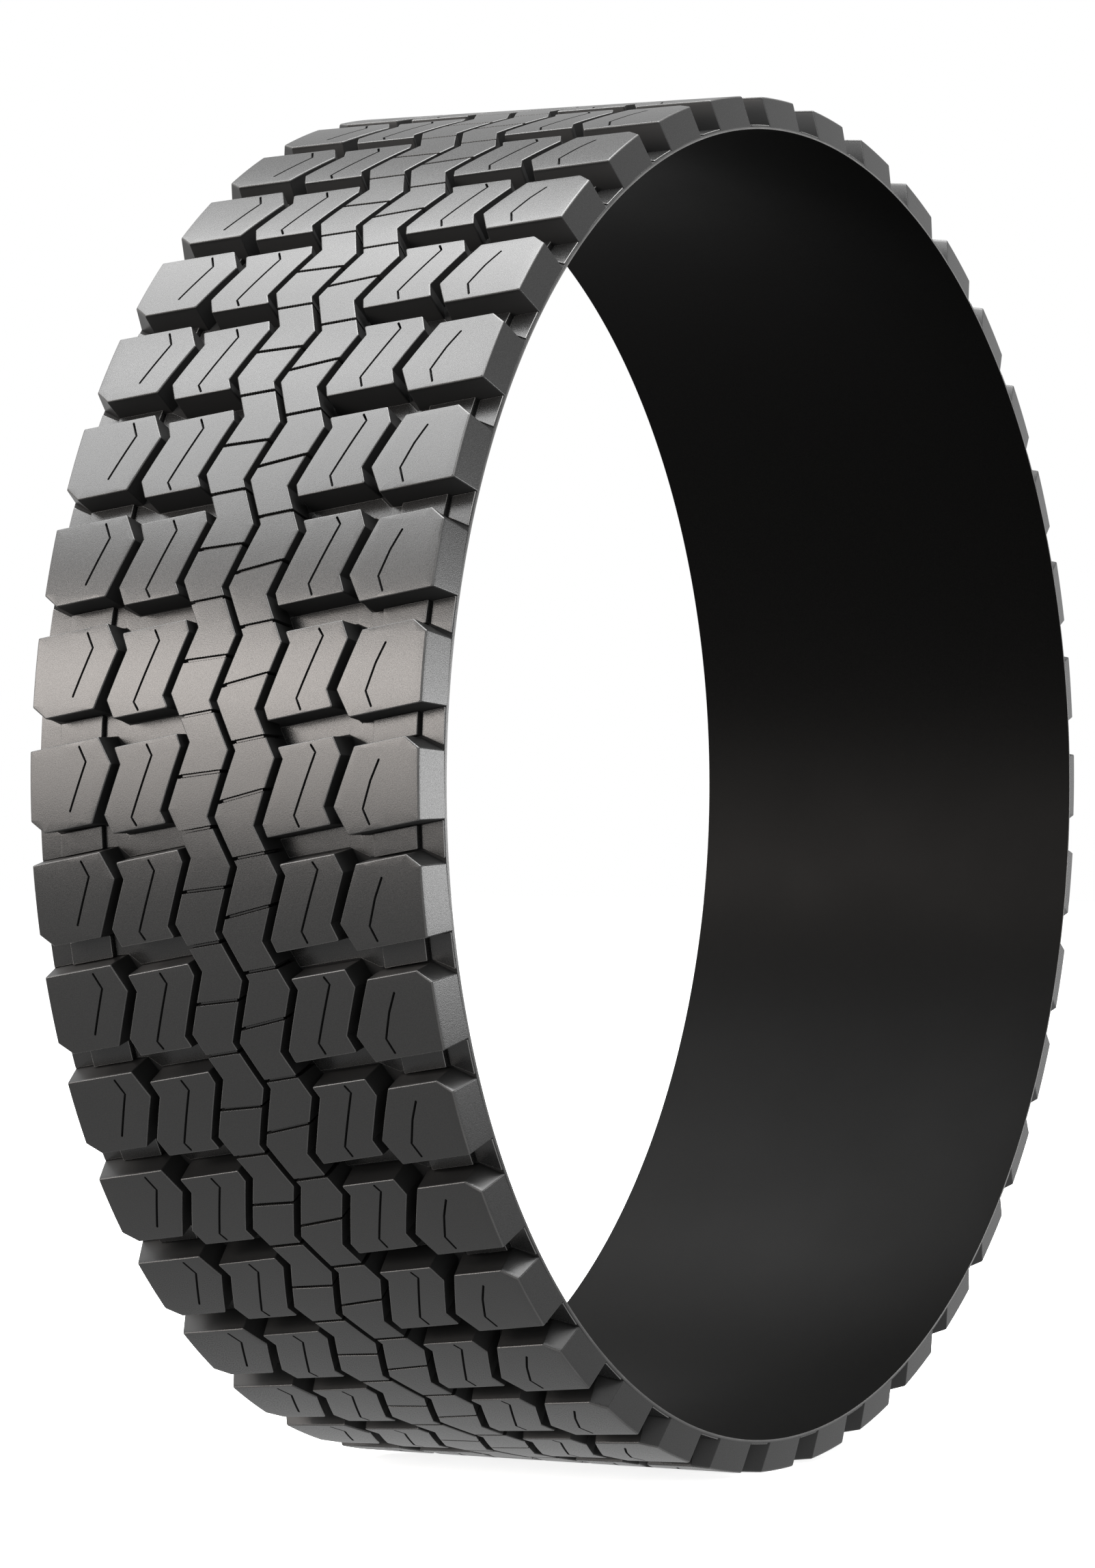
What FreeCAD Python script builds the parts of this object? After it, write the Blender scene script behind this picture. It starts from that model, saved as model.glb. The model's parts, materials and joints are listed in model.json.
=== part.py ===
"""A closed tread ring for a heavy wide-base tyre: a smooth bore, a thin base and 40 pitches of tread.

The ring's axis is +Y and its centre is the origin. The tread pattern is drawn on the unrolled tread face:
across is the distance along the axis, and along is the arc length at the outer radius, which grows upwards
on the -X side. One pitch is drawn about along = 0, and is repeated round the ring.
"""
import FreeCAD, Part
import math
import os

# Driving dimensions, in millimetres.
BORE_RADIUS = 480.0
CUSHION_THICKNESS = 1.0
BASE_THICKNESS = 2.4  # from the bore to the roots of the blocks, with the cushion layer
PAD_HEIGHT = 1.6
TREAD_DEPTH = 20.7  # from the tread face to the top of the pads on the groove floor
WIDTH = 330.0
PITCHES = 40
WALL_DRAFT = 1.5  # how far a block's wall moves out from the tread face to the floor
SHOULDER_DRAFT = 7.3  # the same for the outer side of a shoulder block
SIPE_WIDTH = 1.3
SIPE_DEPTH = 14.0
TIE_BAR_HEIGHT = 5.4
TIE_BAR_DRAFT = 0.6

FLOOR_RADIUS = BORE_RADIUS + BASE_THICKNESS
OUTER_RADIUS = FLOOR_RADIUS + PAD_HEIGHT + TREAD_DEPTH
PITCH_ANGLE = 360.0 / PITCHES
PITCH = math.radians(PITCH_ANGLE) * OUTER_RADIUS
HALF_WIDTH = WIDTH / 2.0
OVERSHOOT = 3.0  # how far a rough solid runs past the surfaces that trim it

# Outlines of the left (+Y) elements at the tread face, as (across, along), counter-clockwise seen from outside
# with across to the left. The right elements are these turned by half a turn.
SHOULDER_BLOCK = [(157.7, 22.8), (101.4, 32.8), (90.3, 14.0), (106.4, -27.0), (146.4, -34.0), (157.3, -26.1)]
INNER_BLOCK = [
    (88.0, 25.6),
    (36.8, 34.8),
    (33.2, 26.0),
    (49.7, -18.4),
    (45.3, -26.4),
    (89.6, -33.8),
    (96.0, -21.1),
    (82.7, 13.8),
]
RIB_OUTER_EDGE = [(43.2, -16.9), (26.0, 28.9)]  # where the zigzag turns in one pitch
RIB_INNER_EDGE = [(11.3, -22.0), (-5.5, 23.2)]
TIE_BAR_SPAN = (109.8, 145.4)  # across, at the floor
EDGE_PLATE = [(146.8, -35.9), (HALF_WIDTH, -29.1), (HALF_WIDTH, -55.6), (146.8, -52.3)]
FLOOR_PAD = [(40.2, -28.3), (89.4, -36.4), (105.0, -29.7), (109.0, -30.1)]  # its edge beside one pitch's blocks
FLOOR_PAD_FAR = [(109.0, -45.4), (100.0, -43.6), (90.6, -51.2), (33.5, -41.6)]  # beside the next pitch's
BLOCK_TURN = -1.2  # sum of the two along values of a point on a left block and its twin on the right
RIB_TURN = 0.9

# Sipes: thin cuts, as open lines of (across, along).
LEFT_SHOULDER_SIPE = [(117.0, 26.3), (111.1, 15.6), (124.3, -18.7)]
LEFT_INNER_SIPE = [(61.0, 27.6), (56.6, 20.1), (73.3, -22.5), (69.3, -28.2)]
RIGHT_INNER_SIPE = [(-72.1, 27.0), (-76.0, 21.8), (-59.0, -20.9), (-62.8, -28.7)]
RIGHT_SHOULDER_SIPE = [(-126.5, 17.0), (-120.0, 2.8), (-113.8, -16.3), (-118.8, -26.8)]
LEFT_RIB_SIPES = [[(44.0, 4.2), (-8.0, 10.1)], [(46.0, -35.0), (0.0, -27.5)]]
RIGHT_RIB_SIPES = [[(10.0, -14.0), (-48.0, -0.2)], [(0.0, 27.1), (-46.0, 35.1)]]


def on_ring(across, along, radius):
    """The point of the unrolled pattern, at a radius."""
    turn = along / OUTER_RADIUS
    return FreeCAD.Vector(-radius * math.cos(turn), across, radius * math.sin(turn))


def ring(inner, outer, half_width):
    """A plain ring about the Y axis."""
    start = FreeCAD.Vector(0, -half_width, 0)
    axis = FreeCAD.Vector(0, 1, 0)
    solid = Part.makeCylinder(outer, 2 * half_width, start, axis)
    return solid.cut(Part.makeCylinder(inner, 2 * half_width, start, axis))


def shift_edges(outline, shifts):
    """Moves each edge of a closed outline outwards by its own distance, and finds the new corners."""
    count = len(outline)
    area = sum(
        outline[i][0] * outline[(i + 1) % count][1] - outline[(i + 1) % count][0] * outline[i][1]
        for i in range(count)
    )
    side = 1.0 if area > 0 else -1.0
    lines = []
    for i in range(count):
        ax, ay = outline[i]
        bx, by = outline[(i + 1) % count]
        length = math.hypot(bx - ax, by - ay)
        normal = (side * (by - ay) / length, -side * (bx - ax) / length)
        lines.append((normal, normal[0] * ax + normal[1] * ay + shifts[i]))
    corners = []
    for i in range(count):
        (ax, ay), a = lines[i - 1]
        (bx, by), b = lines[i]
        across_product = ax * by - ay * bx
        corners.append(((a * by - b * ay) / across_product, (b * ax - a * bx) / across_product))
    return corners


def mean_along(outline):
    return sum(point[1] for point in outline) / len(outline)


def block(top, floor, low=FLOOR_RADIUS, high=OUTER_RADIUS):
    """A solid whose outline is top at the high radius and floor at the low one, trimmed by both cylinders."""
    middle = mean_along(top) / OUTER_RADIUS
    outward = FreeCAD.Vector(-math.cos(middle), 0, math.sin(middle))
    wires = []
    for height in (low * math.cos(math.radians(PITCH_ANGLE)) - OVERSHOOT, high + OVERSHOOT):
        points = []
        for upper, lower in zip(top, floor):
            start = on_ring(lower[0], lower[1], low)
            end = on_ring(upper[0], upper[1], high)
            share = (height - start.dot(outward)) / (end - start).dot(outward)
            points.append(start + (end - start) * share)
        wires.append(Part.makePolygon(points + points[:1]))
    rough = Part.makeLoft(wires, True, True)
    return rough.common(ring(low, high, HALF_WIDTH)).Solids[0]


def slot(line, width, depth):
    """A thin straight-walled cut along an open line, from above the tread face down to depth."""
    sides = ([], [])
    for i, (x, y) in enumerate(line):
        before = line[max(i - 1, 0)]
        after = line[min(i + 1, len(line) - 1)]
        length = math.hypot(after[0] - before[0], after[1] - before[1])
        step = (-(after[1] - before[1]) / length * width / 2, (after[0] - before[0]) / length * width / 2)
        sides[0].append((x + step[0], y + step[1]))
        sides[1].append((x - step[0], y - step[1]))
    outline = sides[0] + sides[1][::-1]
    middle = mean_along(outline) / OUTER_RADIUS
    outward = FreeCAD.Vector(-math.cos(middle), 0, math.sin(middle))
    points = []
    for x, y in outline:
        ray = on_ring(x, y, OUTER_RADIUS)
        ray.y = 0
        points.append(ray * ((OUTER_RADIUS - depth) / ray.dot(outward)) + FreeCAD.Vector(0, x, 0))
    face = Part.Face(Part.makePolygon(points + points[:1]))
    return face.extrude(outward * (depth + OVERSHOOT))


def with_slots(solid, lines):
    for line in lines:
        solid = solid.cut(slot(line, SIPE_WIDTH, SIPE_DEPTH))
    return solid.Solids[0]


def half_turn(outline, turn):
    """The right-hand twin of a left-hand outline."""
    return [(-across, turn - along) for across, along in outline]


def round_the_ring(solid):
    """The solid at every pitch."""
    copies = []
    for pitch in range(PITCHES):
        copy = solid.copy()
        copy.rotate(FreeCAD.Vector(0, 0, 0), FreeCAD.Vector(0, 1, 0), pitch * PITCH_ANGLE)
        copies.append(copy)
    return copies


def shoulder_block(outline, sipe):
    """A block of the edge row: its outer side leans out to the edge of the base."""
    outer_side = [i for i in range(len(outline)) if min(abs(outline[i][0]), abs(outline[i - 1][0])) > 150.0]
    shifts = [WALL_DRAFT] * len(outline)
    shifts[outer_side[0] - 1] = SHOULDER_DRAFT
    return with_slots(block(outline, shift_edges(outline, shifts)), [sipe])


def inner_block(outline, sipe):
    return with_slots(block(outline, shift_edges(outline, [WALL_DRAFT] * len(outline))), [sipe])


def along_zigzag(turns, along):
    """Where a zigzag edge, which turns at two points in each pitch, crosses a given along."""
    points = sorted(turns, key=lambda point: point[1])
    points = [(x, y + shift * PITCH) for shift in (-1, 0, 1) for x, y in points]
    for (ax, ay), (bx, by) in zip(points, points[1:]):
        if ay <= along <= by:
            return ax + (bx - ax) * (along - ay) / (by - ay)


def rib(outer_turns, inner_turns, sipes):
    """An endless zigzag rib: one pitch, cut by its sipes, joined to its copies end to end."""
    ends = (-PITCH / 2, PITCH / 2)
    rising = [(along_zigzag(outer_turns, ends[0]), ends[0])]
    rising += sorted(outer_turns, key=lambda point: point[1])
    rising.append((along_zigzag(outer_turns, ends[1]), ends[1]))
    falling = [(along_zigzag(inner_turns, ends[1]), ends[1])]
    falling += sorted(inner_turns, key=lambda point: -point[1])
    falling.append((along_zigzag(inner_turns, ends[0]), ends[0]))
    outline = rising + falling
    shifts = [WALL_DRAFT] * len(outline)
    shifts[len(rising) - 1] = 0.0
    shifts[-1] = 0.0
    piece = block(outline, shift_edges(outline, shifts))
    for sipe in sipes:
        piece = piece.cut(slot(sipe, SIPE_WIDTH, SIPE_DEPTH))
    pieces = round_the_ring(piece.Solids[0])
    joined = pieces[0].multiFuse(pieces[1:]).removeSplitter()
    return joined.Solids[0]


def tie_bar(blocks, side):
    """The low platform between two neighbouring shoulder blocks, trimmed to touch both."""
    near, far = TIE_BAR_SPAN
    ends = (-PITCH * 0.72, -PITCH * 0.28)
    floor = [(near, ends[0]), (far, ends[0]), (far, ends[1]), (near, ends[1])]
    shifts = [0.0, -TIE_BAR_DRAFT, 0.0, -TIE_BAR_DRAFT]
    top = shift_edges(floor, shifts)
    if side < 0:
        floor = half_turn(floor, -PITCH + BLOCK_TURN)
        top = half_turn(top, -PITCH + BLOCK_TURN)
    bar = block(top, floor, FLOOR_RADIUS, FLOOR_RADIUS + TIE_BAR_HEIGHT)
    for neighbour in blocks:
        bar = bar.cut(neighbour)
    return max(bar.Solids, key=lambda solid: solid.Volume)


def floor_pad(outline, side):
    """A thin raised pad on the floor of a cross groove, a little clear of the walls."""
    if side < 0:
        outline = half_turn(outline, -PITCH + BLOCK_TURN)
    return block(outline, outline, FLOOR_RADIUS, FLOOR_RADIUS + PAD_HEIGHT)


def write(name, solids):
    shape = solids[0] if len(solids) == 1 else Part.makeCompound(solids)
    volume = sum(solid.Volume for solid in solids)
    print(name, len(solids), "valid" if shape.isValid() else "NOT VALID", round(volume / 1000), "cm3")
    shape.exportStep("parts/" + name + ".step")


os.makedirs("parts", exist_ok=True)

left_shoulder = round_the_ring(shoulder_block(SHOULDER_BLOCK, LEFT_SHOULDER_SIPE))
left_inner = round_the_ring(inner_block(INNER_BLOCK, LEFT_INNER_SIPE))
right_inner = round_the_ring(inner_block(half_turn(INNER_BLOCK, BLOCK_TURN), RIGHT_INNER_SIPE))
right_shoulder = round_the_ring(shoulder_block(half_turn(SHOULDER_BLOCK, BLOCK_TURN), RIGHT_SHOULDER_SIPE))
left_tie_bar = tie_bar([left_shoulder[0], left_shoulder[1], left_shoulder[-1]], 1)
right_tie_bar = tie_bar([right_shoulder[0], right_shoulder[1], right_shoulder[-1]], -1)

write("cushion_gum_layer", [ring(BORE_RADIUS, BORE_RADIUS + CUSHION_THICKNESS, HALF_WIDTH)])
write("base_band", [ring(BORE_RADIUS + CUSHION_THICKNESS, FLOOR_RADIUS, HALF_WIDTH)])
write("left_shoulder_blocks", left_shoulder)
write("left_inner_blocks", left_inner)
write("left_centre_rib", [rib(RIB_OUTER_EDGE, RIB_INNER_EDGE, LEFT_RIB_SIPES)])
write(
    "right_centre_rib",
    [rib(half_turn(RIB_INNER_EDGE, RIB_TURN), half_turn(RIB_OUTER_EDGE, RIB_TURN), RIGHT_RIB_SIPES)],
)
write("right_inner_blocks", right_inner)
write("right_shoulder_blocks", right_shoulder)
write("left_shoulder_tie_bars", round_the_ring(left_tie_bar))
write("right_shoulder_tie_bars", round_the_ring(right_tie_bar))
for name, side in (("left", 1), ("right", -1)):
    write(name + "_groove_floor_pads", round_the_ring(floor_pad(FLOOR_PAD + FLOOR_PAD_FAR, side)))
    write(name + "_edge_plates", round_the_ring(floor_pad(EDGE_PLATE, side)))
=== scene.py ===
"""Looks for the closed tread ring: detailed rubber blocks, ribs, tie bars, floor pads and bore.

The ring's axis is +Y. The pattern is drawn unrolled, in millimetres: across is the distance along the axis,
and along is the arc length at the tread face, growing upwards on the -X side. Depth is measured inwards from
the tread face. on_ring turns everything into metres in the frame.
"""

import json
import math

import bmesh
import bpy
from mathutils import Matrix, Vector
from mathutils.geometry import delaunay_2d_cdt


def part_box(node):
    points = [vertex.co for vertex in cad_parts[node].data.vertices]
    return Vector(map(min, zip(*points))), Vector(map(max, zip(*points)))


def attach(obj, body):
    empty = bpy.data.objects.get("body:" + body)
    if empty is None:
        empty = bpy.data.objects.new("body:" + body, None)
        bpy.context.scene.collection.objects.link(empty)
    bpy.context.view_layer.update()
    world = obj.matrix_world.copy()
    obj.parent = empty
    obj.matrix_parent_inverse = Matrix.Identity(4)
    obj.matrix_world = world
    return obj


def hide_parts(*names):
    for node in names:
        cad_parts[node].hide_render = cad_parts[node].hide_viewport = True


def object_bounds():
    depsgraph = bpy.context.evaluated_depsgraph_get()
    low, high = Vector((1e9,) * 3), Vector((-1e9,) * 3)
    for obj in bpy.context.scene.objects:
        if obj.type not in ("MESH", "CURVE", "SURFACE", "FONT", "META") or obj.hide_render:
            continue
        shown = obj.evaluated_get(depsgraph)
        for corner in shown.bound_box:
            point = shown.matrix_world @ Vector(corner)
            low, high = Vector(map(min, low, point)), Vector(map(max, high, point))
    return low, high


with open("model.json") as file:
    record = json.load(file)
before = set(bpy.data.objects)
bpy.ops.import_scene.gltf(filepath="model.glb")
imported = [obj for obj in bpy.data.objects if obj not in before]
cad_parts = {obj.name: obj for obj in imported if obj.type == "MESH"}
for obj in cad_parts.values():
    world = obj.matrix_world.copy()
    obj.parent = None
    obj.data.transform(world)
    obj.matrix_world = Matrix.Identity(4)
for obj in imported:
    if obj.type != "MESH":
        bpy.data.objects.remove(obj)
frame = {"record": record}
cad_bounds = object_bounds()

MM = 0.001

# Radii and widths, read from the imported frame.
BORE_RADIUS = frame["record"]["mounts"][0]["dims"]["r_mm"]
CUSHION_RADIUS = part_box("cushion_gum_layer")[1].z / MM
FLOOR_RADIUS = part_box("base_band")[1].z / MM
OUTER_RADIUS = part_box("left_centre_rib")[1].z / MM
PAD_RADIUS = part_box("left_edge_plates")[1].z / MM
TIE_BAR_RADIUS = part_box("left_shoulder_tie_bars")[1].z / MM
HALF_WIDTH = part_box("base_band")[1].y / MM

PITCHES = 40
PITCH = 2 * math.pi * OUTER_RADIUS / PITCHES
WALL_DRAFT = 1.5  # how far a wall leans out by its foot
SHOULDER_DRAFT = 6.78  # the same on a flank; the side of the base goes on at about the same slope
BASE_DRAFT = 0.7
EDGE_RADIUS = 0.7  # rounding of a block's top edge
FLANK_EDGE_RADIUS = 0.9  # the same on the flank side of a shoulder block
CUT_EDGE_RADIUS = 1.2  # the same at its cut corner
SIPE_EDGE_RADIUS = 0.15  # the same at a rib sipe
PAD_EDGE_RADIUS = 0.4
TIE_BAR_EDGE_RADIUS = 0.5
BASE_EDGE_RADIUS = 0.1
BONDING_EDGE_RADIUS = 0.2
LOW_PAD_CORNER = 0.6  # rounding of the upright corners of pads, plates and tie bars
LOW_PAD_DRAFT = 0.3
CORNER_RADIUS = 1.2  # rounding of a block's upright corners
SIPE_WIDTH = 1.75  # of a sipe in a block
SIPE_DEPTH = 14.0
SIPE_TIP = 0.4  # how far its pointed ends go past its line, in widths
SIPE_STEP = 4.0
SIPE_FLOOR_STEP = 50.0  # so large that a sipe's floor gets no points inside
RIB_SIPE_WIDTH = 2.5
RIB_SIPE_DEPTH = 2.2  # of its middle; its ends go down to the base
RIB_SIPE_SLIT = 0.65  # the slit left at each side of its middle
RIB_SIPE_END = 2.6  # length of each deep end
WAVE_STEP = 1.05  # length of one side of a rib sipe's zigzag wall
WAVE_SWING = 0.18  # how far it swings to each side
TURN_MARGIN = 1.5  # a turning point of a rib's edge that is this near to a sipe is left out
FOOT_IN = 1.5  # the foot of a shoulder block's cut corner is turned: its inner end goes in by this
FOOT_OUT = 2.2  # and its outer end goes out by this
WALL_PAINTED_SHADE = 0.65  # painted shade on groove walls, from 0 like the tread face to 1 like the inside of a cut
UPPER_WALL_RELIEF = 0.3  # how much less painted shade a wall gets that faces along, which is up towards the light on the -X side
WALL_FADE = 2.0  # how far below a top edge's rounding a wall has half the painted shade of its foot
# painted shade on the walls of a shoulder block's cut corner, kept small so that the corner's highlight shows
CUT_CORNER_PAINTED_SHADE = 0.1
# painted shade on the outer face of the tread base, where it shows as groove floors
FLOOR_PAINTED_SHADE = 0.85
BLOCK_EDGE_RUB_AND_HIGHLIGHT = 0.3  # how much the top edges of blocks and ribs are lightened, partly by rubbing and partly as a painted highlight
PAD_EDGE_RUB_AND_HIGHLIGHT = 1.0  # the same on pads, plates and tie bars, whose rims carry a strong painted highlight
ROOT_SINK = 0.3  # how far walls run into the base, so that no gap shows
ROOT = OUTER_RADIUS - FLOOR_RADIUS + ROOT_SINK  # the depth of a wall's foot
BONDING_INSET = 0.3  # the tread base laps the edge of the bonding layer to this far from the bore
SHARP_ANGLE = 35  # degrees; an edge that turns by more is shaded as sharp
FINE_STEP = 8.0  # about the step of the mesh along outlines and over top faces

# Outlines at the tread face, or at their own top. The right-hand twins are these after half a turn.
SHOULDER_BLOCK = [(157.7, 22.8), (101.4, 32.8), (90.3, 14.0), (106.4, -27.0), (146.4, -34.0), (157.3, -26.1)]
CUT_CORNER = 4  # the number of a shoulder block's wall at its cut-off corner; wall 4 starts at point 4
FLANK = 5  # the number of its wall at the ring's edge
INNER_BLOCK = [
    (88.0, 25.6),
    (36.8, 34.8),
    (33.2, 26.0),
    (49.7, -18.4),
    (45.3, -26.4),
    (89.6, -33.8),
    (96.0, -21.1),
    (82.7, 13.8),
]
RIB_OUTER_EDGE = [(43.2, -16.9), (26.0, 28.9)]
RIB_INNER_EDGE = [(11.3, -22.0), (-5.5, 23.2)]
TIE_BAR = [(110.5, -29.8), (110.5, -46.0), (144.9, -52.2), (144.9, -35.8)]
FLOOR_PAD = [
    (40.2, -28.3),
    (89.4, -36.4),
    (105.0, -29.7),
    (109.0, -30.1),
    (109.0, -45.4),
    (99.2, -44.6),
    (90.2, -52.0),
    (33.5, -41.6),
]
PLATE_EDGE = HALF_WIDTH - 1.1  # behind the leaning side of the base
EDGE_PLATE = [(146.8, -35.9), (PLATE_EDGE, -29.1), (PLATE_EDGE, -55.6), (146.8, -52.3)]

# How far along a right-hand twin is moved after its half turn.
BLOCK_TURN = -1.2
GAP_TURN = BLOCK_TURN - PITCH  # for what lies between two blocks
RIB_TURN = 0.9

LEFT_SHOULDER_SIPE = [(117.0, 26.3), (111.1, 15.6), (124.3, -18.7)]
LEFT_INNER_SIPE = [(61.0, 27.6), (56.6, 20.1), (73.3, -22.5), (69.3, -28.2)]
RIGHT_INNER_SIPE = [(-72.1, 27.0), (-76.0, 21.8), (-59.0, -20.9), (-62.8, -28.7)]
RIGHT_SHOULDER_SIPE = [(-126.5, 17.0), (-120.0, 2.8), (-113.8, -16.3), (-118.8, -26.8)]
LEFT_RIB_SIPES = [[(44.0, 4.2), (-8.0, 10.1)], [(46.0, -35.0), (0.0, -27.5)]]
RIGHT_RIB_SIPES = [[(10.0, -14.0), (-48.0, -0.2)], [(0.0, 27.1), (-46.0, 35.1)]]

# Colours, light and camera, in metres and degrees.
TREAD_DARK = (0.010, 0.010, 0.010)
TREAD_LIGHT = (0.016, 0.016, 0.0158)
# the lighter colour of rubbed edges, which also stands as a painted highlight on their rims
TREAD_RUB_AND_HIGHLIGHT = (0.22, 0.217, 0.213)
# painted shade: the near-black put inside sipes, on groove walls and on groove floors
CUT_PAINTED_SHADE = (0.002, 0.002, 0.002)
CUSHION_DARK = (0.002, 0.002, 0.002)
CUSHION_LIGHT = (0.004, 0.004, 0.0038)
WARM = (1.0, 0.93, 0.88)
FLOOR_SIZE = 40.0
FLOOR_GLOW = 0.85
AMBIENT = 0.66
LIGHT_DISTANCE = 6.0
CAMERA_PLACE = (-4.0392, -2.3312, 0.0004)
CAMERA_TURN = -59.5994
CAMERA_LENS = 142.94


# ---------------------------------------------------------------- plane outlines


def as_drawn(outline, _):
    return outline


def half_turn(outline, turn):
    return [(-across, turn - along) for across, along in outline]


def signed_area(outline):
    total = 0.0
    for (ax, ay), (bx, by) in zip(outline, outline[1:] + outline[:1]):
        total += ax * by - bx * ay
    return total / 2


def counter_clockwise(outline):
    return outline if signed_area(outline) > 0 else outline[::-1]


def shift_edges(outline, shifts):
    """Moves each edge of a counter-clockwise outline outwards by its own distance."""
    count = len(outline)
    lines = []
    for i in range(count):
        ax, ay = outline[i]
        bx, by = outline[(i + 1) % count]
        length = math.hypot(bx - ax, by - ay)
        normal = ((by - ay) / length, -(bx - ax) / length)
        lines.append((normal, normal[0] * ax + normal[1] * ay + shifts[i]))
    corners = []
    for i in range(count):
        (ax, ay), a = lines[i - 1]
        (bx, by), b = lines[i]
        product = ax * by - ay * bx
        corners.append(((a * by - b * ay) / product, (b * ax - a * bx) / product))
    return corners


def edge_steps(outline, spacing):
    """How many steps each edge of an outline is cut into."""
    closed = zip(outline, outline[1:] + outline[:1])
    return [max(1, round(math.dist(a, b) / spacing)) for a, b in closed]


def soft_corners(outline, radii, steps):
    """The outline with each corner turned into a small arc, and its edges cut into steps."""
    count = len(outline)
    arcs = []
    for i in range(count):
        corner = Vector(outline[i])
        back = Vector(outline[i - 1]) - corner
        ahead = Vector(outline[(i + 1) % count]) - corner
        if radii[i] == 0:
            arcs.append([corner])
            continue
        turn = math.pi - back.angle(ahead)
        reach = min(radii[i] * math.tan(turn / 2), back.length * 0.4, ahead.length * 0.4)
        start = corner + back.normalized() * reach
        end = corner + ahead.normalized() * reach
        arcs.append([start.lerp(corner, t).lerp(corner.lerp(end, t), t) for t in (0, 0.25, 0.5, 0.75, 1)])
    points = []
    for i in range(count):
        points += arcs[i]
        start, end = arcs[i][-1], arcs[(i + 1) % count][0]
        points += [start.lerp(end, k / steps[i]) for k in range(1, steps[i])]
    return points


def spread(line, spacing):
    """An open line cut into steps no longer than the spacing."""
    points = []
    for a, b in zip(line, line[1:]):
        steps = max(1, math.ceil(math.dist(a, b) / spacing))
        points += [Vector(a).lerp(Vector(b), k / steps) for k in range(steps)]
    return points + [Vector(line[-1])]


def two_sides(line, width):
    """The two edges of a thin cut that follows a line, each with one point for each point of the line."""
    sides = ([], [])
    for i, point in enumerate(line):
        ahead = (line[min(i + 1, len(line) - 1)] - line[max(i - 1, 0)]).normalized()
        across = Vector((-ahead.y, ahead.x)) * width / 2
        sides[0].append(point + across)
        sides[1].append(point - across)
    return sides


def grid_inside(points, spacing):
    """Points on a grid within the box of an outline."""
    low = [min(p[k] for p in points) for k in (0, 1)]
    high = [max(p[k] for p in points) for k in (0, 1)]
    counts = [max(1, round((high[k] - low[k]) / spacing)) for k in (0, 1)]
    for i in range(1, counts[0]):
        for j in range(1, counts[1]):
            yield Vector((
                low[0] + (high[0] - low[0]) * i / counts[0],
                low[1] + (high[1] - low[1]) * j / counts[1],
            ))


def far_from(point, lines, distance):
    """True if a point is not within a distance of any closed line."""
    for line in lines:
        for a, b in zip(line, line[1:] + line[:1]):
            run = b - a
            share = max(0.0, min(1.0, (point - a).dot(run) / max(run.length_squared, 1e-9)))
            if (a + run * share - point).length < distance:
                return False
    return True


def within(point, outline):
    """True if a point lies inside a closed outline."""
    inside = False
    for a, b in zip(outline, outline[1:] + outline[:1]):
        if (a.y > point.y) != (b.y > point.y):
            if point.x < a.x + (point.y - a.y) * (b.x - a.x) / (b.y - a.y):
                inside = not inside
    return inside


# ---------------------------------------------------------------- solids on the ring


def on_ring(point, depth):
    """A point of the unrolled pattern at a depth below the tread face, in metres in the frame."""
    radius = OUTER_RADIUS - depth
    turn = point[1] / OUTER_RADIUS
    return Vector((-radius * math.cos(turn), point[0], radius * math.sin(turn))) * MM


class Pitch:
    """The mesh of one row of elements over one pitch."""

    def __init__(self):
        self.points = []
        self.faces = []
        # Per point: above 0 a point is lightened by rubbing and a painted highlight, below 0 it carries
        # painted shade and is dull, as in a groove.
        self.wear = []
        self.cuts = set()  # faces inside sipes, painted black as shade

    def loop(self, outline, depth, wear=0.0):
        """Adds the points of an outline at a depth, with one rubbing and painted light value for all or one
        for each.
        """
        first = len(self.points)
        self.points += [on_ring(p, depth) for p in outline]
        self.wear += wear if isinstance(wear, list) else [wear] * len(outline)
        return list(range(first, len(self.points)))

    def band(self, upper, lower):
        """Walls between two loops of a counter-clockwise outline, facing outwards."""
        for i in range(len(upper)):
            j = (i + 1) % len(upper)
            self.faces.append((upper[i], upper[j], lower[j], lower[i]))

    def cap(self, outline, loop, holes, depth, spacing, up=True):
        """A face that fills an outline round its holes; holes are (outline, loop) pairs."""
        flat = [Vector(p) for p in outline]
        edges = [list(range(len(flat)))]
        known = list(loop)
        for hole, hole_loop in holes:
            edges.append(list(range(len(flat), len(flat) + len(hole))))
            flat += [Vector(p) for p in hole]
            known += hole_loop
        rims = [list(map(Vector, outline))] + [list(map(Vector, hole)) for hole, _ in holes]
        inner = [p for p in grid_inside(outline, spacing) if far_from(p, rims, spacing * 0.35)]
        constraints = [(e[i], e[(i + 1) % len(e)]) for e in edges for i in range(len(e))]
        made, _, faces, origins, _, _ = delaunay_2d_cdt(flat + inner, constraints, [], 0, 1e-6)
        place, renumbered = {}, {}
        for new, olds in enumerate(origins):
            renumbered.update((old, new) for old in olds)
            old = [o for o in olds if o < len(known)]
            if old:
                place[new] = known[old[0]]
        inside = {}  # whether a face that runs along a directed side of a rim is part of the cap
        for number, loop_edges in enumerate(edges):
            for a, b in zip(loop_edges, loop_edges[1:] + loop_edges[:1]):
                inside[(renumbered[a], renumbered[b])] = number == 0
                inside[(renumbered[b], renumbered[a])] = number != 0
        for face in faces:
            middle = sum((made[v] for v in face), Vector((0, 0))) / len(face)
            sides = [inside[side] for side in zip(face, face[1:] + face[:1]) if side in inside]
            wanted = within(middle, rims[0]) and not any(within(middle, rim) for rim in rims[1:])
            if not (sides[0] if sides else wanted):
                continue
            for v in face:
                if v not in place:
                    place[v] = len(self.points)
                    self.points.append(on_ring(made[v], depth))
                    self.wear.append(0.0)
            corners = [place[v] for v in face]
            self.faces.append(tuple(corners[::-1] if up else corners))


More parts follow.
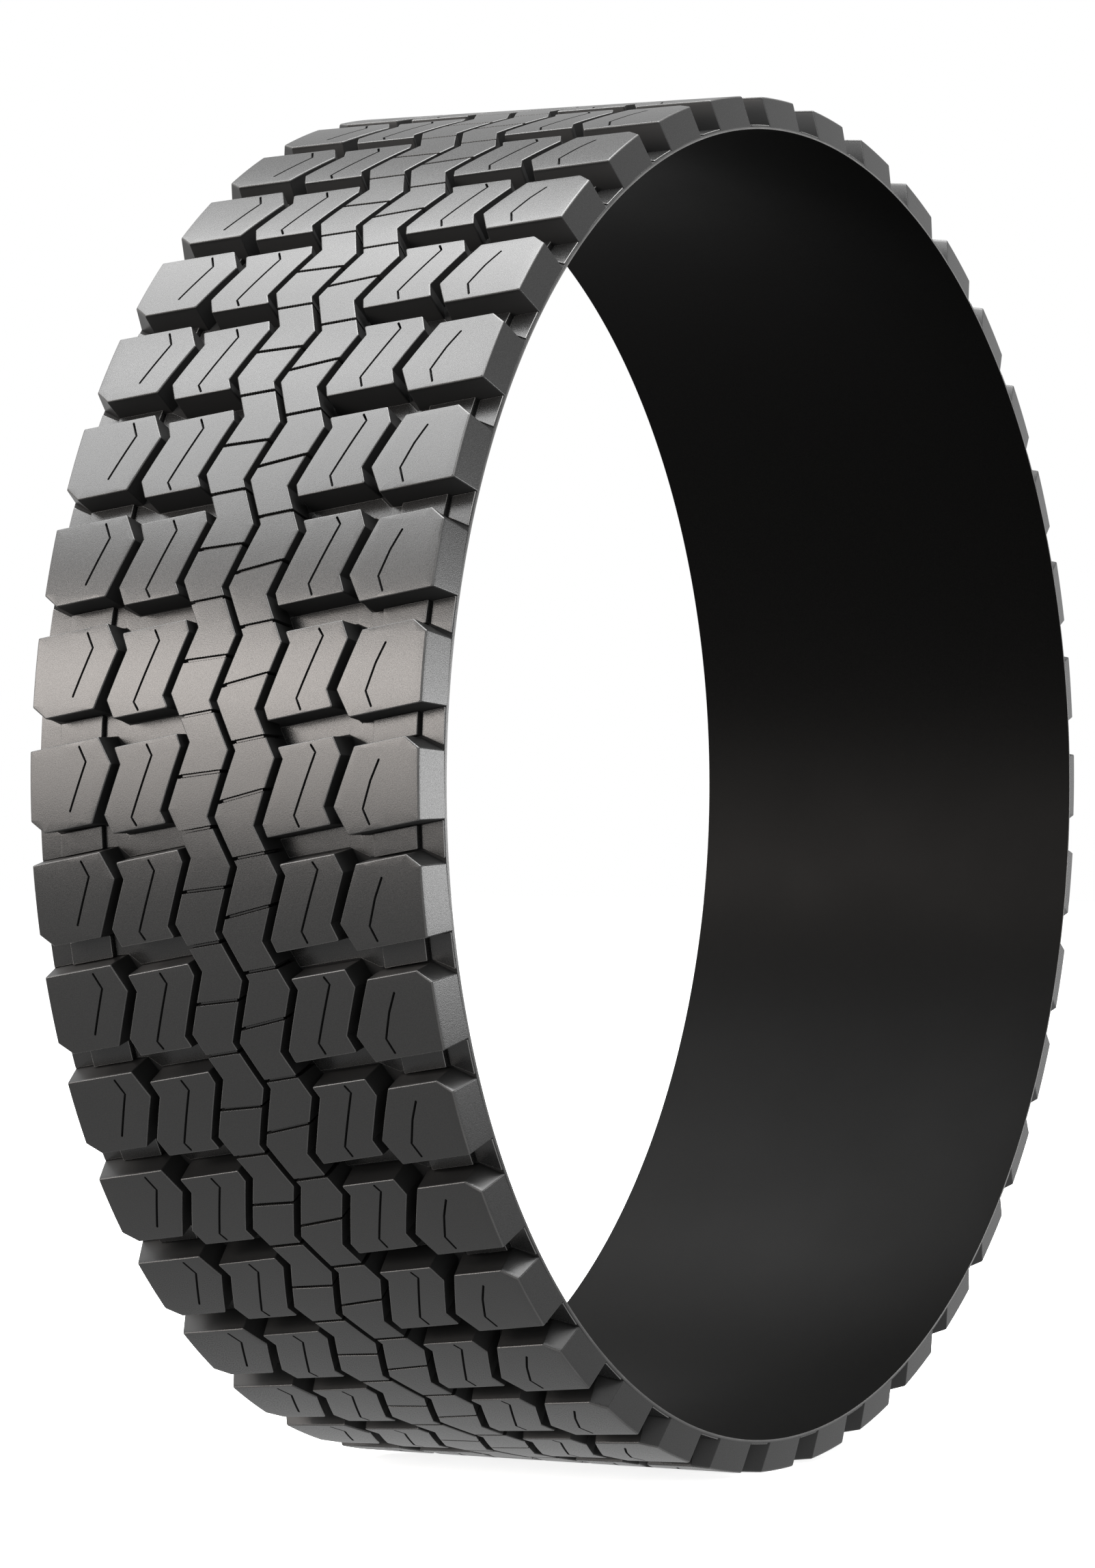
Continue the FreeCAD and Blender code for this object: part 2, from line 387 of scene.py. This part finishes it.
def add_block(
    pitch, outline, drafts, rounds, top, sipes=(), corner=CORNER_RADIUS, rub_and_painted_light=BLOCK_EDGE_RUB_AND_HIGHLIGHT, feet=(), dark=None
):
    """A closed solid that stands on the base.

    drafts: how far each wall leans out by its foot. rounds: the width of each top edge's rounding.
    corner: the rounding of the upright corners, a number or one for each. rub_and_painted_light: how much its
    top edges are lightened by rubbing and by a painted highlight.
    feet: pairs of a corner's number and how far it moves along by its foot.
    dark: how much painted shade each wall carries and how dull it is, or None where that follows from the way
    the wall faces.
    """
    deep = max(rounds)
    corners = corner if isinstance(corner, list) else [corner] * len(outline)
    steps = edge_steps(outline, FINE_STEP)
    walls = list(dark or [None] * len(outline))
    # painted shade on each wall, less on a wall that faces up towards the light
    for i, (a, b) in enumerate(zip(outline, outline[1:] + outline[:1])):
        if walls[i] is None:
            walls[i] = WALL_PAINTED_SHADE - UPPER_WALL_RELIEF * (a[0] - b[0]) / math.dist(a, b)
    darkness = []
    for i, wall in enumerate(walls):
        before = walls[i - 1]
        darkness += [before, before, (before + wall) / 2, wall] if corners[i] else []
        darkness += [wall] * steps[i]

    def ring(depth, angle=90.0):
        share = min(1.0, (depth - top) / (ROOT - top))
        inset = 1 - math.sin(math.radians(angle))
        shifts = [draft * share - rounding * inset for draft, rounding in zip(drafts, rounds)]
        placed = shift_edges(outline, shifts)
        for i, nudge in feet:
            placed[i] = (placed[i][0], placed[i][1] + nudge * share)
        return soft_corners(placed, corners, steps)

    top_ring = ring(top, 0)
    holes = [add_sipe(pitch, line, top) for line in sipes]
    upper = pitch.loop(top_ring, top)
    pitch.cap(top_ring, upper, holes, top, FINE_STEP)
    for angle in (30, 60, 90):
        depth = top + deep * (1 - math.cos(math.radians(angle)))
        # the rounding rings are lightened by rubbing and a painted highlight
        lower = pitch.loop(ring(depth, angle), depth, rub_and_painted_light if angle < 90 else 0.0)
        pitch.band(upper, lower)
        upper = lower
    # below the rounding each wall fades into painted shade, full at its foot
    for depth, share in ((top + deep + WALL_FADE, 0.5), (ROOT, 1.0)):
        lower_ring = ring(depth)
        lower = pitch.loop(lower_ring, depth, [-share * wall for wall in darkness])
        pitch.band(upper, lower)
        upper = lower
    pitch.cap(lower_ring, upper, [], ROOT, FINE_STEP * 2, up=False)


def add_sipe(pitch, line, top):
    """A thin cut down from the tread face: its walls and floor. Gives the hole that it makes in the face."""
    points = spread(line, SIPE_STEP)
    left, right = two_sides(points, SIPE_WIDTH)
    ahead = (points[-1] - points[-2]).normalized() * SIPE_WIDTH * SIPE_TIP
    behind = (points[0] - points[1]).normalized() * SIPE_WIDTH * SIPE_TIP
    outline = [points[0] + behind] + right + [points[-1] + ahead] + left[::-1]
    outline = counter_clockwise(outline)
    mouth = pitch.loop(outline, top)
    floor = pitch.loop(outline, top + SIPE_DEPTH)
    first = len(pitch.faces)
    for i in range(len(outline)):
        j = (i + 1) % len(outline)
        pitch.faces.append((mouth[j], mouth[i], floor[i], floor[j]))
    pitch.cap(outline, floor, [], top + SIPE_DEPTH, SIPE_FLOOR_STEP)
    # the walls and floor of a sipe are painted black as shade
    pitch.cuts.update(range(first, len(pitch.faces)))
    return outline, mouth


def build(name, node, pitch, material):
    """Repeats one pitch round the ring as one piece that stands for a CAD node."""
    points, faces, wear, cuts = [], [], [], []
    for k in range(PITCHES):
        turn = Matrix.Rotation(2 * math.pi * k / PITCHES, 4, "Y")
        first = len(points)
        points += [turn @ p for p in pitch.points]
        faces += [tuple(first + v for v in face) for face in pitch.faces]
        wear += pitch.wear
        # faces inside sipes get the full painted shade
        cuts += [1.0 if i in pitch.cuts else 0.0 for i in range(len(pitch.faces))]
    finish_piece(name, node, points, faces, wear, cuts, material)


def finish_piece(name, node, points, faces, wear, cuts, material):
    """Makes a smooth piece that rides on the ring's one body and stands for a CAD node."""
    mesh = bpy.data.meshes.new(name)
    mesh.from_pydata(points, [], faces)
    # per point: lightening by rubbing and a painted highlight above 0, painted shade below 0; per face:
    # painted shade inside cuts and on groove floors
    rub_and_painted_light = mesh.attributes.new("wear", "FLOAT", "POINT")
    rub_and_painted_light.data.foreach_set("value", wear)
    inside = mesh.attributes.new("cut", "FLOAT", "FACE")
    inside.data.foreach_set("value", cuts)
    shell = bmesh.new()
    shell.from_mesh(mesh)
    bmesh.ops.dissolve_degenerate(shell, edges=shell.edges, dist=1e-7)
    shell.to_mesh(mesh)
    shell.free()
    mesh.polygons.foreach_set("use_smooth", [True] * len(mesh.polygons))
    mesh.set_sharp_from_angle(angle=math.radians(SHARP_ANGLE))
    piece = bpy.data.objects.new(name, mesh)
    bpy.context.scene.collection.objects.link(piece)
    mesh.materials.append(material)
    weighted = piece.modifiers.new("Even normals", "WEIGHTED_NORMAL")
    weighted.keep_sharp = True
    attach(piece, "root")
    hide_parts(node)


def lathe(name, node, profile, material, outer_face_shade=0.0, steps=720):
    """A ring whose section is a closed counter-clockwise profile of (across, radius, rubbing and painted
    highlight) points.

    outer_face_shade: how much of the painted shade of a cut its outer face carries, as the bottom of grooves.
    """
    points, faces, wear, cuts = [], [], [], []
    outermost = max(radius for _, radius, _ in profile)
    for k in range(steps):
        turn = 2 * math.pi * k / steps
        for across, radius, rub_and_painted_light in profile:
            points.append(Vector((-radius * math.cos(turn), across, radius * math.sin(turn))) * MM)
            wear.append(rub_and_painted_light)
    count = len(profile)
    for k in range(steps):
        for i in range(count):
            j = (i + 1) % count
            here, there = k * count, (k + 1) % steps * count
            faces.append((here + i, here + j, there + j, there + i))
            # the outer face, seen as groove floors, carries painted shade
            cuts.append(outer_face_shade if profile[i][1] == profile[j][1] == outermost else 0.0)
    finish_piece(name, node, points, faces, wear, cuts, material)


# ---------------------------------------------------------------- the rows of the tread


def shoulder_blocks(outline, sipe):
    """The edge row: blocks with a cut-off corner, whose flank leans out in one slope down to the base."""
    pitch = Pitch()
    drafts = [WALL_DRAFT] * len(outline)
    rounds = [EDGE_RADIUS] * len(outline)
    dark = [None] * len(outline)
    drafts[FLANK] = SHOULDER_DRAFT
    rounds[FLANK] = FLANK_EDGE_RADIUS
    # the flank carries no painted shade and the cut corner little
    dark[FLANK] = 0.0
    rounds[CUT_CORNER] = CUT_EDGE_RADIUS
    dark[CUT_CORNER] = CUT_CORNER_PAINTED_SHADE
    inwards = 1.0 if outline[CUT_CORNER][1] < outline[0][1] else -1.0
    feet = ((CUT_CORNER, FOOT_IN * inwards), (FLANK, -FOOT_OUT * inwards))
    add_block(pitch, outline, drafts, rounds, 0.0, [sipe], feet=feet, dark=dark)
    return pitch


def inner_blocks(outline, sipe):
    """The row of chevron blocks between the shoulder and the rib."""
    pitch = Pitch()
    count = len(outline)
    add_block(pitch, outline, [WALL_DRAFT] * count, [EDGE_RADIUS] * count, 0.0, [sipe])
    return pitch


def along_zigzag(turns, along):
    """Where a zigzag edge, which turns at two points in each pitch, crosses a given along."""
    points = sorted(turns, key=lambda point: point[1])
    points = [(x, y + shift * PITCH) for shift in (-2, -1, 0, 1, 2) for x, y in points]
    for (ax, ay), (bx, by) in zip(points, points[1:]):
        if ay <= along <= by:
            return ax + (bx - ax) * (along - ay) / (by - ay)


def zigzag_turns(turns, low, high):
    """The turning points of a zigzag edge between two values of along, lowest first."""
    points = [(x, y + shift * PITCH) for shift in (-2, -1, 0, 1, 2) for x, y in turns]
    between = [point for point in points if low + TURN_MARGIN < point[1] < high - TURN_MARGIN]
    return sorted(between, key=lambda point: point[1])


def crossing(line, turns):
    """Where an open line meets a zigzag edge."""
    for a, b in zip(line, line[1:]):
        misses = [p[0] - along_zigzag(turns, p[1]) for p in (a, b)]
        if misses[0] * misses[1] > 0:
            continue
        low, high = 0.0, 1.0
        for _ in range(40):
            share = (low + high) / 2
            x, y = a[0] + (b[0] - a[0]) * share, a[1] + (b[1] - a[1]) * share
            if (x - along_zigzag(turns, y)) * misses[0] > 0:
                low = share
            else:
                high = share
        return (x, y)


def wavy(line, high_edge, low_edge, shift):
    """One wall of a rib sipe, from the rib's low edge to its high edge: a fine zigzag with straight ends."""
    start, end = crossing(line, low_edge), crossing(line, high_edge)
    steps = round(math.dist(start, end) / WAVE_STEP)
    points = [(along_zigzag(low_edge, start[1] + shift), start[1] + shift)]
    for k in range(2, steps - 1):
        share = k / steps
        swing = WAVE_SWING * (1 if k % 2 else -1)
        points.append((
            start[0] + (end[0] - start[0]) * share,
            start[1] + (end[1] - start[1]) * share + swing + shift,
        ))
    return points + [(along_zigzag(high_edge, end[1] + shift), end[1] + shift)]


def rib(high_edge, low_edge, sipes):
    """A zigzag rib cut right across by its sipes, so that it stands as two kinked blocks in each pitch."""
    pitch = Pitch()
    lines = sorted(sipes, key=lambda line: line[0][1] + line[-1][1])
    lines.append([(x, y + PITCH) for x, y in lines[0]])
    for below, above in zip(lines, lines[1:]):
        floor_side = wavy(below, high_edge, low_edge, RIB_SIPE_WIDTH / 2)
        roof_side = wavy(above, high_edge, low_edge, -RIB_SIPE_WIDTH / 2)[::-1]
        rising = zigzag_turns(high_edge, floor_side[-1][1], roof_side[0][1])
        falling = zigzag_turns(low_edge, floor_side[0][1], roof_side[-1][1])[::-1]
        outline = floor_side + rising + roof_side + falling
        cut = (len(floor_side) - 1, len(rising) + 1, len(roof_side) - 1, len(falling) + 1)
        drafts = [0.0] * cut[0] + [WALL_DRAFT] * cut[1] + [0.0] * cut[2] + [WALL_DRAFT] * cut[3]
        rounds = [SIPE_EDGE_RADIUS] * cut[0] + [EDGE_RADIUS] * cut[1]
        rounds += [SIPE_EDGE_RADIUS] * cut[2] + [EDGE_RADIUS] * cut[3]
        corners = [0.0] * len(floor_side) + [CORNER_RADIUS] * len(rising)
        corners += [0.0] * len(roof_side) + [CORNER_RADIUS] * len(falling)
        add_block(pitch, outline, drafts, rounds, 0.0, corner=corners)
        add_bridge(pitch, crossing(below, low_edge), crossing(below, high_edge))
    return pitch


def add_bridge(pitch, start, end):
    """The shallow middle of a rib sipe: rubber that fills the cut up to its floor."""
    start, end = Vector(start), Vector(end)
    run = (end - start).normalized()
    aside = Vector((-run.y, run.x)) * (RIB_SIPE_WIDTH / 2 - RIB_SIPE_SLIT)
    start, end = start + run * RIB_SIPE_END, end - run * RIB_SIPE_END
    steps = 4
    near = [start.lerp(end, k / steps) - aside for k in range(steps + 1)]
    far = [start.lerp(end, k / steps) + aside for k in range(steps + 1)][::-1]
    outline = counter_clockwise([tuple(p) for p in near + far])
    upper = pitch.loop(outline, RIB_SIPE_DEPTH)
    lower = pitch.loop(outline, ROOT)
    pitch.cap(outline, upper, [], RIB_SIPE_DEPTH, FINE_STEP)
    pitch.band(upper, lower)
    pitch.cap(outline, lower, [], ROOT, FINE_STEP, up=False)


def low_pads(outline, radius, rounding):
    """A low flat-topped platform on the groove floor."""
    pitch = Pitch()
    outline = counter_clockwise(outline)
    count = len(outline)
    top = OUTER_RADIUS - radius
    drafts, rounds = [LOW_PAD_DRAFT] * count, [rounding] * count
    # pad rims are lightened by rubbing and a strong painted highlight; their walls get no painted shade
    add_block(pitch, outline, drafts, rounds, top, corner=LOW_PAD_CORNER, rub_and_painted_light=PAD_EDGE_RUB_AND_HIGHLIGHT, dark=[0.0] * count)
    return pitch


def layer(inner, outer, edge, width=HALF_WIDTH, draft=0.0, rub_and_painted_light=0.5):
    """The section of a flat ring layer with rounded edges.

    Its sides lean in by the draft at its outer face. rub_and_painted_light: how much its inner edges are
    lightened by rubbing and by a painted highlight.
    """
    profile = []
    for side in (1, -1):
        for radius, outside in ((inner, False), (outer, True)):
            arc = []
            for angle in (0, 30, 60, 90):
                turn = math.radians(angle)
                across = width - edge * (1 - math.cos(turn)) - (draft if outside else 0.0)
                level = edge * (1 - math.sin(turn))
                place = radius - level if outside else radius + level
                arc.append((side * across, place, 0.0 if outside else rub_and_painted_light))
            profile.append(arc)
    inner_right, outer_right, inner_left, outer_left = profile
    return inner_right[::-1] + outer_right + outer_left[::-1] + inner_left


# ---------------------------------------------------------------- materials


def new_material(name):
    material = bpy.data.materials.new(name)
    material.use_nodes = True
    tree = material.node_tree
    shader = tree.nodes["Principled BSDF"]
    place = tree.nodes.new("ShaderNodeTexCoord")
    return material, tree, shader, place.outputs["Object"]


def noise(tree, where, scale, detail=2.0, roughness=0.5):
    node = tree.nodes.new("ShaderNodeTexNoise")
    node.inputs["Scale"].default_value = scale
    node.inputs["Detail"].default_value = detail
    node.inputs["Roughness"].default_value = roughness
    tree.links.new(where, node.inputs["Vector"])
    return node.outputs["Fac"]


def remap(tree, value, low, high, from_low=0.3, from_high=0.7):
    node = tree.nodes.new("ShaderNodeMapRange")
    node.inputs["From Min"].default_value = from_low
    node.inputs["From Max"].default_value = from_high
    node.inputs["To Min"].default_value = low
    node.inputs["To Max"].default_value = high
    tree.links.new(value, node.inputs["Value"])
    return node.outputs["Result"]


def mix(tree, share, first, second):
    """Blends two colours, each a socket or a tuple."""
    node = tree.nodes.new("ShaderNodeMix")
    node.data_type = "RGBA"
    for value, socket in ((first, "A_Color"), (second, "B_Color")):
        target = next(s for s in node.inputs if s.identifier == socket)
        if isinstance(value, tuple):
            target.default_value = (*value, 1.0)
        else:
            tree.links.new(value, target)
    factor = next(s for s in node.inputs if s.identifier == "Factor_Float")
    tree.links.new(share, factor)
    return next(s for s in node.outputs if s.identifier == "Result_Color")


def combine(tree, first, second, operation):
    node = tree.nodes.new("ShaderNodeMath")
    node.operation = operation
    tree.links.new(first, node.inputs[0])
    tree.links.new(second, node.inputs[1])
    return node.outputs[0]


def bump(tree, height, strength, distance):
    node = tree.nodes.new("ShaderNodeBump")
    node.inputs["Strength"].default_value = strength
    node.inputs["Distance"].default_value = distance
    tree.links.new(height, node.inputs["Height"])
    return node.outputs["Normal"]


def tread_rubber():
    """Cured carbon-black tread rubber: satin, with a fine moulded grain, edges lightened by rubbing and by a
    painted highlight, and painted shade inside cuts, on groove walls and on groove floors.
    """
    material, tree, shader, where = new_material("tread_rubber")
    grain = noise(tree, where, scale=1250.0, detail=1.0)
    cloud = noise(tree, where, scale=14.0, detail=3.0)
    fine = mix(tree, remap(tree, grain, 0.0, 1.0), TREAD_DARK, TREAD_LIGHT)
    broad = mix(tree, remap(tree, cloud, 0.0, 0.35), fine, TREAD_DARK)
    # edges lightened by rubbing, which also stands as a painted highlight
    rub_and_painted_light = tree.nodes.new("ShaderNodeAttribute")
    rub_and_painted_light.attribute_name = "wear"
    patches = remap(tree, noise(tree, where, scale=60.0), 0.6, 1.0)
    patchy = combine(tree, rub_and_painted_light.outputs["Fac"], patches, "MULTIPLY")
    rubbed_and_highlit = mix(tree, patchy, broad, TREAD_RUB_AND_HIGHLIGHT)
    # painted shade: near-black inside cuts and on groove floors, and on groove walls where the point value is
    # below 0
    cut = tree.nodes.new("ShaderNodeAttribute")
    cut.attribute_name = "cut"
    groove = remap(tree, rub_and_painted_light.outputs["Fac"], 1.0, 0.0, -1.0, 0.0)
    deep = combine(tree, cut.outputs["Fac"], groove, "MAXIMUM")
    tree.links.new(mix(tree, deep, rubbed_and_highlit, CUT_PAINTED_SHADE), shader.inputs["Base Color"])
    rough_cut = remap(tree, deep, 0.0, 0.7, 0.0, 1.0)
    roughness = combine(tree, remap(tree, grain, 0.25, 0.31), rough_cut, "ADD")
    tree.links.new(roughness, shader.inputs["Roughness"])
    tree.links.new(bump(tree, grain, strength=0.135, distance=0.0003), shader.inputs["Normal"])
    return material


def cushion_rubber():
    """Uncured bonding rubber: smooth and nearly black."""
    material, tree, shader, where = new_material("cushion_rubber")
    grain = noise(tree, where, scale=1100.0, detail=2.0, roughness=0.6)
    colour = mix(tree, remap(tree, grain, 0.0, 1.0), CUSHION_DARK, CUSHION_LIGHT)
    tree.links.new(colour, shader.inputs["Base Color"])
    tree.links.new(remap(tree, noise(tree, where, scale=9.0), 0.32, 0.38), shader.inputs["Roughness"])
    shader.inputs["Specular IOR Level"].default_value = 0.03
    tree.links.new(bump(tree, grain, strength=0.15, distance=0.0003), shader.inputs["Normal"])
    return material


# ---------------------------------------------------------------- the pieces

tread = tread_rubber()
cushion = cushion_rubber()

lathe(
    "bonding_layer", "cushion_gum_layer",
    layer(BORE_RADIUS, CUSHION_RADIUS, BONDING_EDGE_RADIUS, width=HALF_WIDTH - BONDING_INSET), cushion
)
# the outer face of the tread base carries painted shade as groove floors
lathe(
    "tread_base", "base_band",
    layer(BORE_RADIUS + BONDING_INSET, FLOOR_RADIUS, BASE_EDGE_RADIUS, draft=BASE_DRAFT), tread,
    outer_face_shade=FLOOR_PAINTED_SHADE
)

for side, turned, shoulder_sipe, inner_sipe, rib_sipes in (
    ("left", as_drawn, LEFT_SHOULDER_SIPE, LEFT_INNER_SIPE, LEFT_RIB_SIPES),
    ("right", half_turn, RIGHT_SHOULDER_SIPE, RIGHT_INNER_SIPE, RIGHT_RIB_SIPES),
):
    outer_edge, inner_edge = turned(RIB_OUTER_EDGE, RIB_TURN), turned(RIB_INNER_EDGE, RIB_TURN)
    high_edge, low_edge = (outer_edge, inner_edge) if side == "left" else (inner_edge, outer_edge)
    shoulder_block = turned(SHOULDER_BLOCK, BLOCK_TURN)
    inner_block = turned(INNER_BLOCK, BLOCK_TURN)
    tie_bar = turned(TIE_BAR, GAP_TURN)
    floor_pad = turned(FLOOR_PAD, GAP_TURN)
    edge_plate = turned(EDGE_PLATE, GAP_TURN)
    for row, node, pitch in (
        ("shoulder_row", "shoulder_blocks", shoulder_blocks(shoulder_block, shoulder_sipe)),
        ("inner_row", "inner_blocks", inner_blocks(inner_block, inner_sipe)),
        ("zigzag_rib", "centre_rib", rib(high_edge, low_edge, rib_sipes)),
        ("tie_bar_row", "shoulder_tie_bars", low_pads(tie_bar, TIE_BAR_RADIUS, TIE_BAR_EDGE_RADIUS)),
        ("floor_pad_row", "groove_floor_pads", low_pads(floor_pad, PAD_RADIUS, PAD_EDGE_RADIUS)),
        ("edge_plate_row", "edge_plates", low_pads(edge_plate, PAD_RADIUS, PAD_EDGE_RADIUS)),
    ):
        build(side + "_" + row, side + "_" + node, pitch, tread)

# ---------------------------------------------------------------- floor, lights and camera

floor_mesh = bpy.data.meshes.new("floor")
half = FLOOR_SIZE / 2
floor_corners = [(-half, -half, 0), (half, -half, 0), (half, half, 0), (-half, half, 0)]
floor_mesh.from_pydata(floor_corners, [], [(0, 1, 2, 3)])
floor = bpy.data.objects.new("floor", floor_mesh)
floor.location.z = cad_bounds[0].z
bpy.context.scene.collection.objects.link(floor)
floor_paint = bpy.data.materials.new("floor_paint")
floor_paint.use_nodes = True
paint = floor_paint.node_tree.nodes["Principled BSDF"].inputs
paint["Base Color"].default_value = (0.8, 0.8, 0.8, 1.0)
paint["Roughness"].default_value = 1.0
paint["Specular IOR Level"].default_value = 0.0
paint["Emission Color"].default_value = (1.0, 1.0, 1.0, 1.0)
paint["Emission Strength"].default_value = FLOOR_GLOW
floor_mesh.materials.append(floor_paint)
# The object floats in the light of the whole studio, so the floor is only looked at.
floor.visible_diffuse = False
floor.visible_glossy = False
floor.visible_shadow = False

world = bpy.data.worlds.new("studio")
bpy.context.scene.world = world
world.use_nodes = True
sky = world.node_tree
background = sky.nodes["Background"]
seen = sky.nodes.new("ShaderNodeLightPath")
strength = remap(sky, seen.outputs["Is Camera Ray"], AMBIENT, 1.0, 0.0, 1.0)
sky.links.new(strength, background.inputs["Strength"])
background.inputs["Color"].default_value = (1.0, 1.0, 1.0, 1.0)
bpy.context.scene.view_settings.view_transform = "Standard"


def soft_box(name, azimuth, elevation, half_width, half_height, brightness, colour=(1.0, 1.0, 1.0)):
    """A large soft light far from the object; its half sizes are angles seen from the ring's centre."""
    lamp = bpy.data.lights.new(name, "AREA")
    lamp.shape = "RECTANGLE"
    lamp.size = 2 * LIGHT_DISTANCE * math.tan(math.radians(half_width))
    lamp.size_y = 2 * LIGHT_DISTANCE * math.tan(math.radians(half_height))
    lamp.energy = brightness * math.pi * lamp.size * lamp.size_y
    lamp.color = colour
    box = bpy.data.objects.new(name, lamp)
    bpy.context.scene.collection.objects.link(box)
    flat = math.cos(math.radians(elevation))
    towards = Vector((
        math.sin(math.radians(azimuth)) * flat,
        -math.cos(math.radians(azimuth)) * flat,
        math.sin(math.radians(elevation)),
    ))
    box.location = towards * LIGHT_DISTANCE
    box.rotation_euler = towards.to_track_quat("Z", "Y").to_euler()
    box.visible_camera = False


for light in (
    ("top_left", 222, 46, 12, 13, 8.5),
    ("top_middle", 186, 61, 14, 12, 5.7),
    ("top_right", 154, 56, 9, 11, 1.75),
    ("gap_left", 229, 29, 10, 5, 1.2),
    ("horizon_high", 236, 15, 14, 7, 13.7, WARM),
    ("horizon_low", 236, 1, 14, 6, 6.3, WARM),
    ("edge_near", 21, 0, 9, 8, 13.4),
    ("overhead", 0, 88, 25, 25, 10.0),
    ("top_front", 338, 52, 22, 14, 4.0),
):
    soft_box(*light)

camera_data = bpy.data.cameras.new("camera")
camera_data.lens = CAMERA_LENS
camera_data.sensor_width = 36.0
camera = bpy.data.objects.new("camera", camera_data)
bpy.context.scene.collection.objects.link(camera)
camera.location = CAMERA_PLACE
camera.rotation_euler = (math.radians(90), 0, math.radians(CAMERA_TURN))
bpy.context.scene.camera = camera
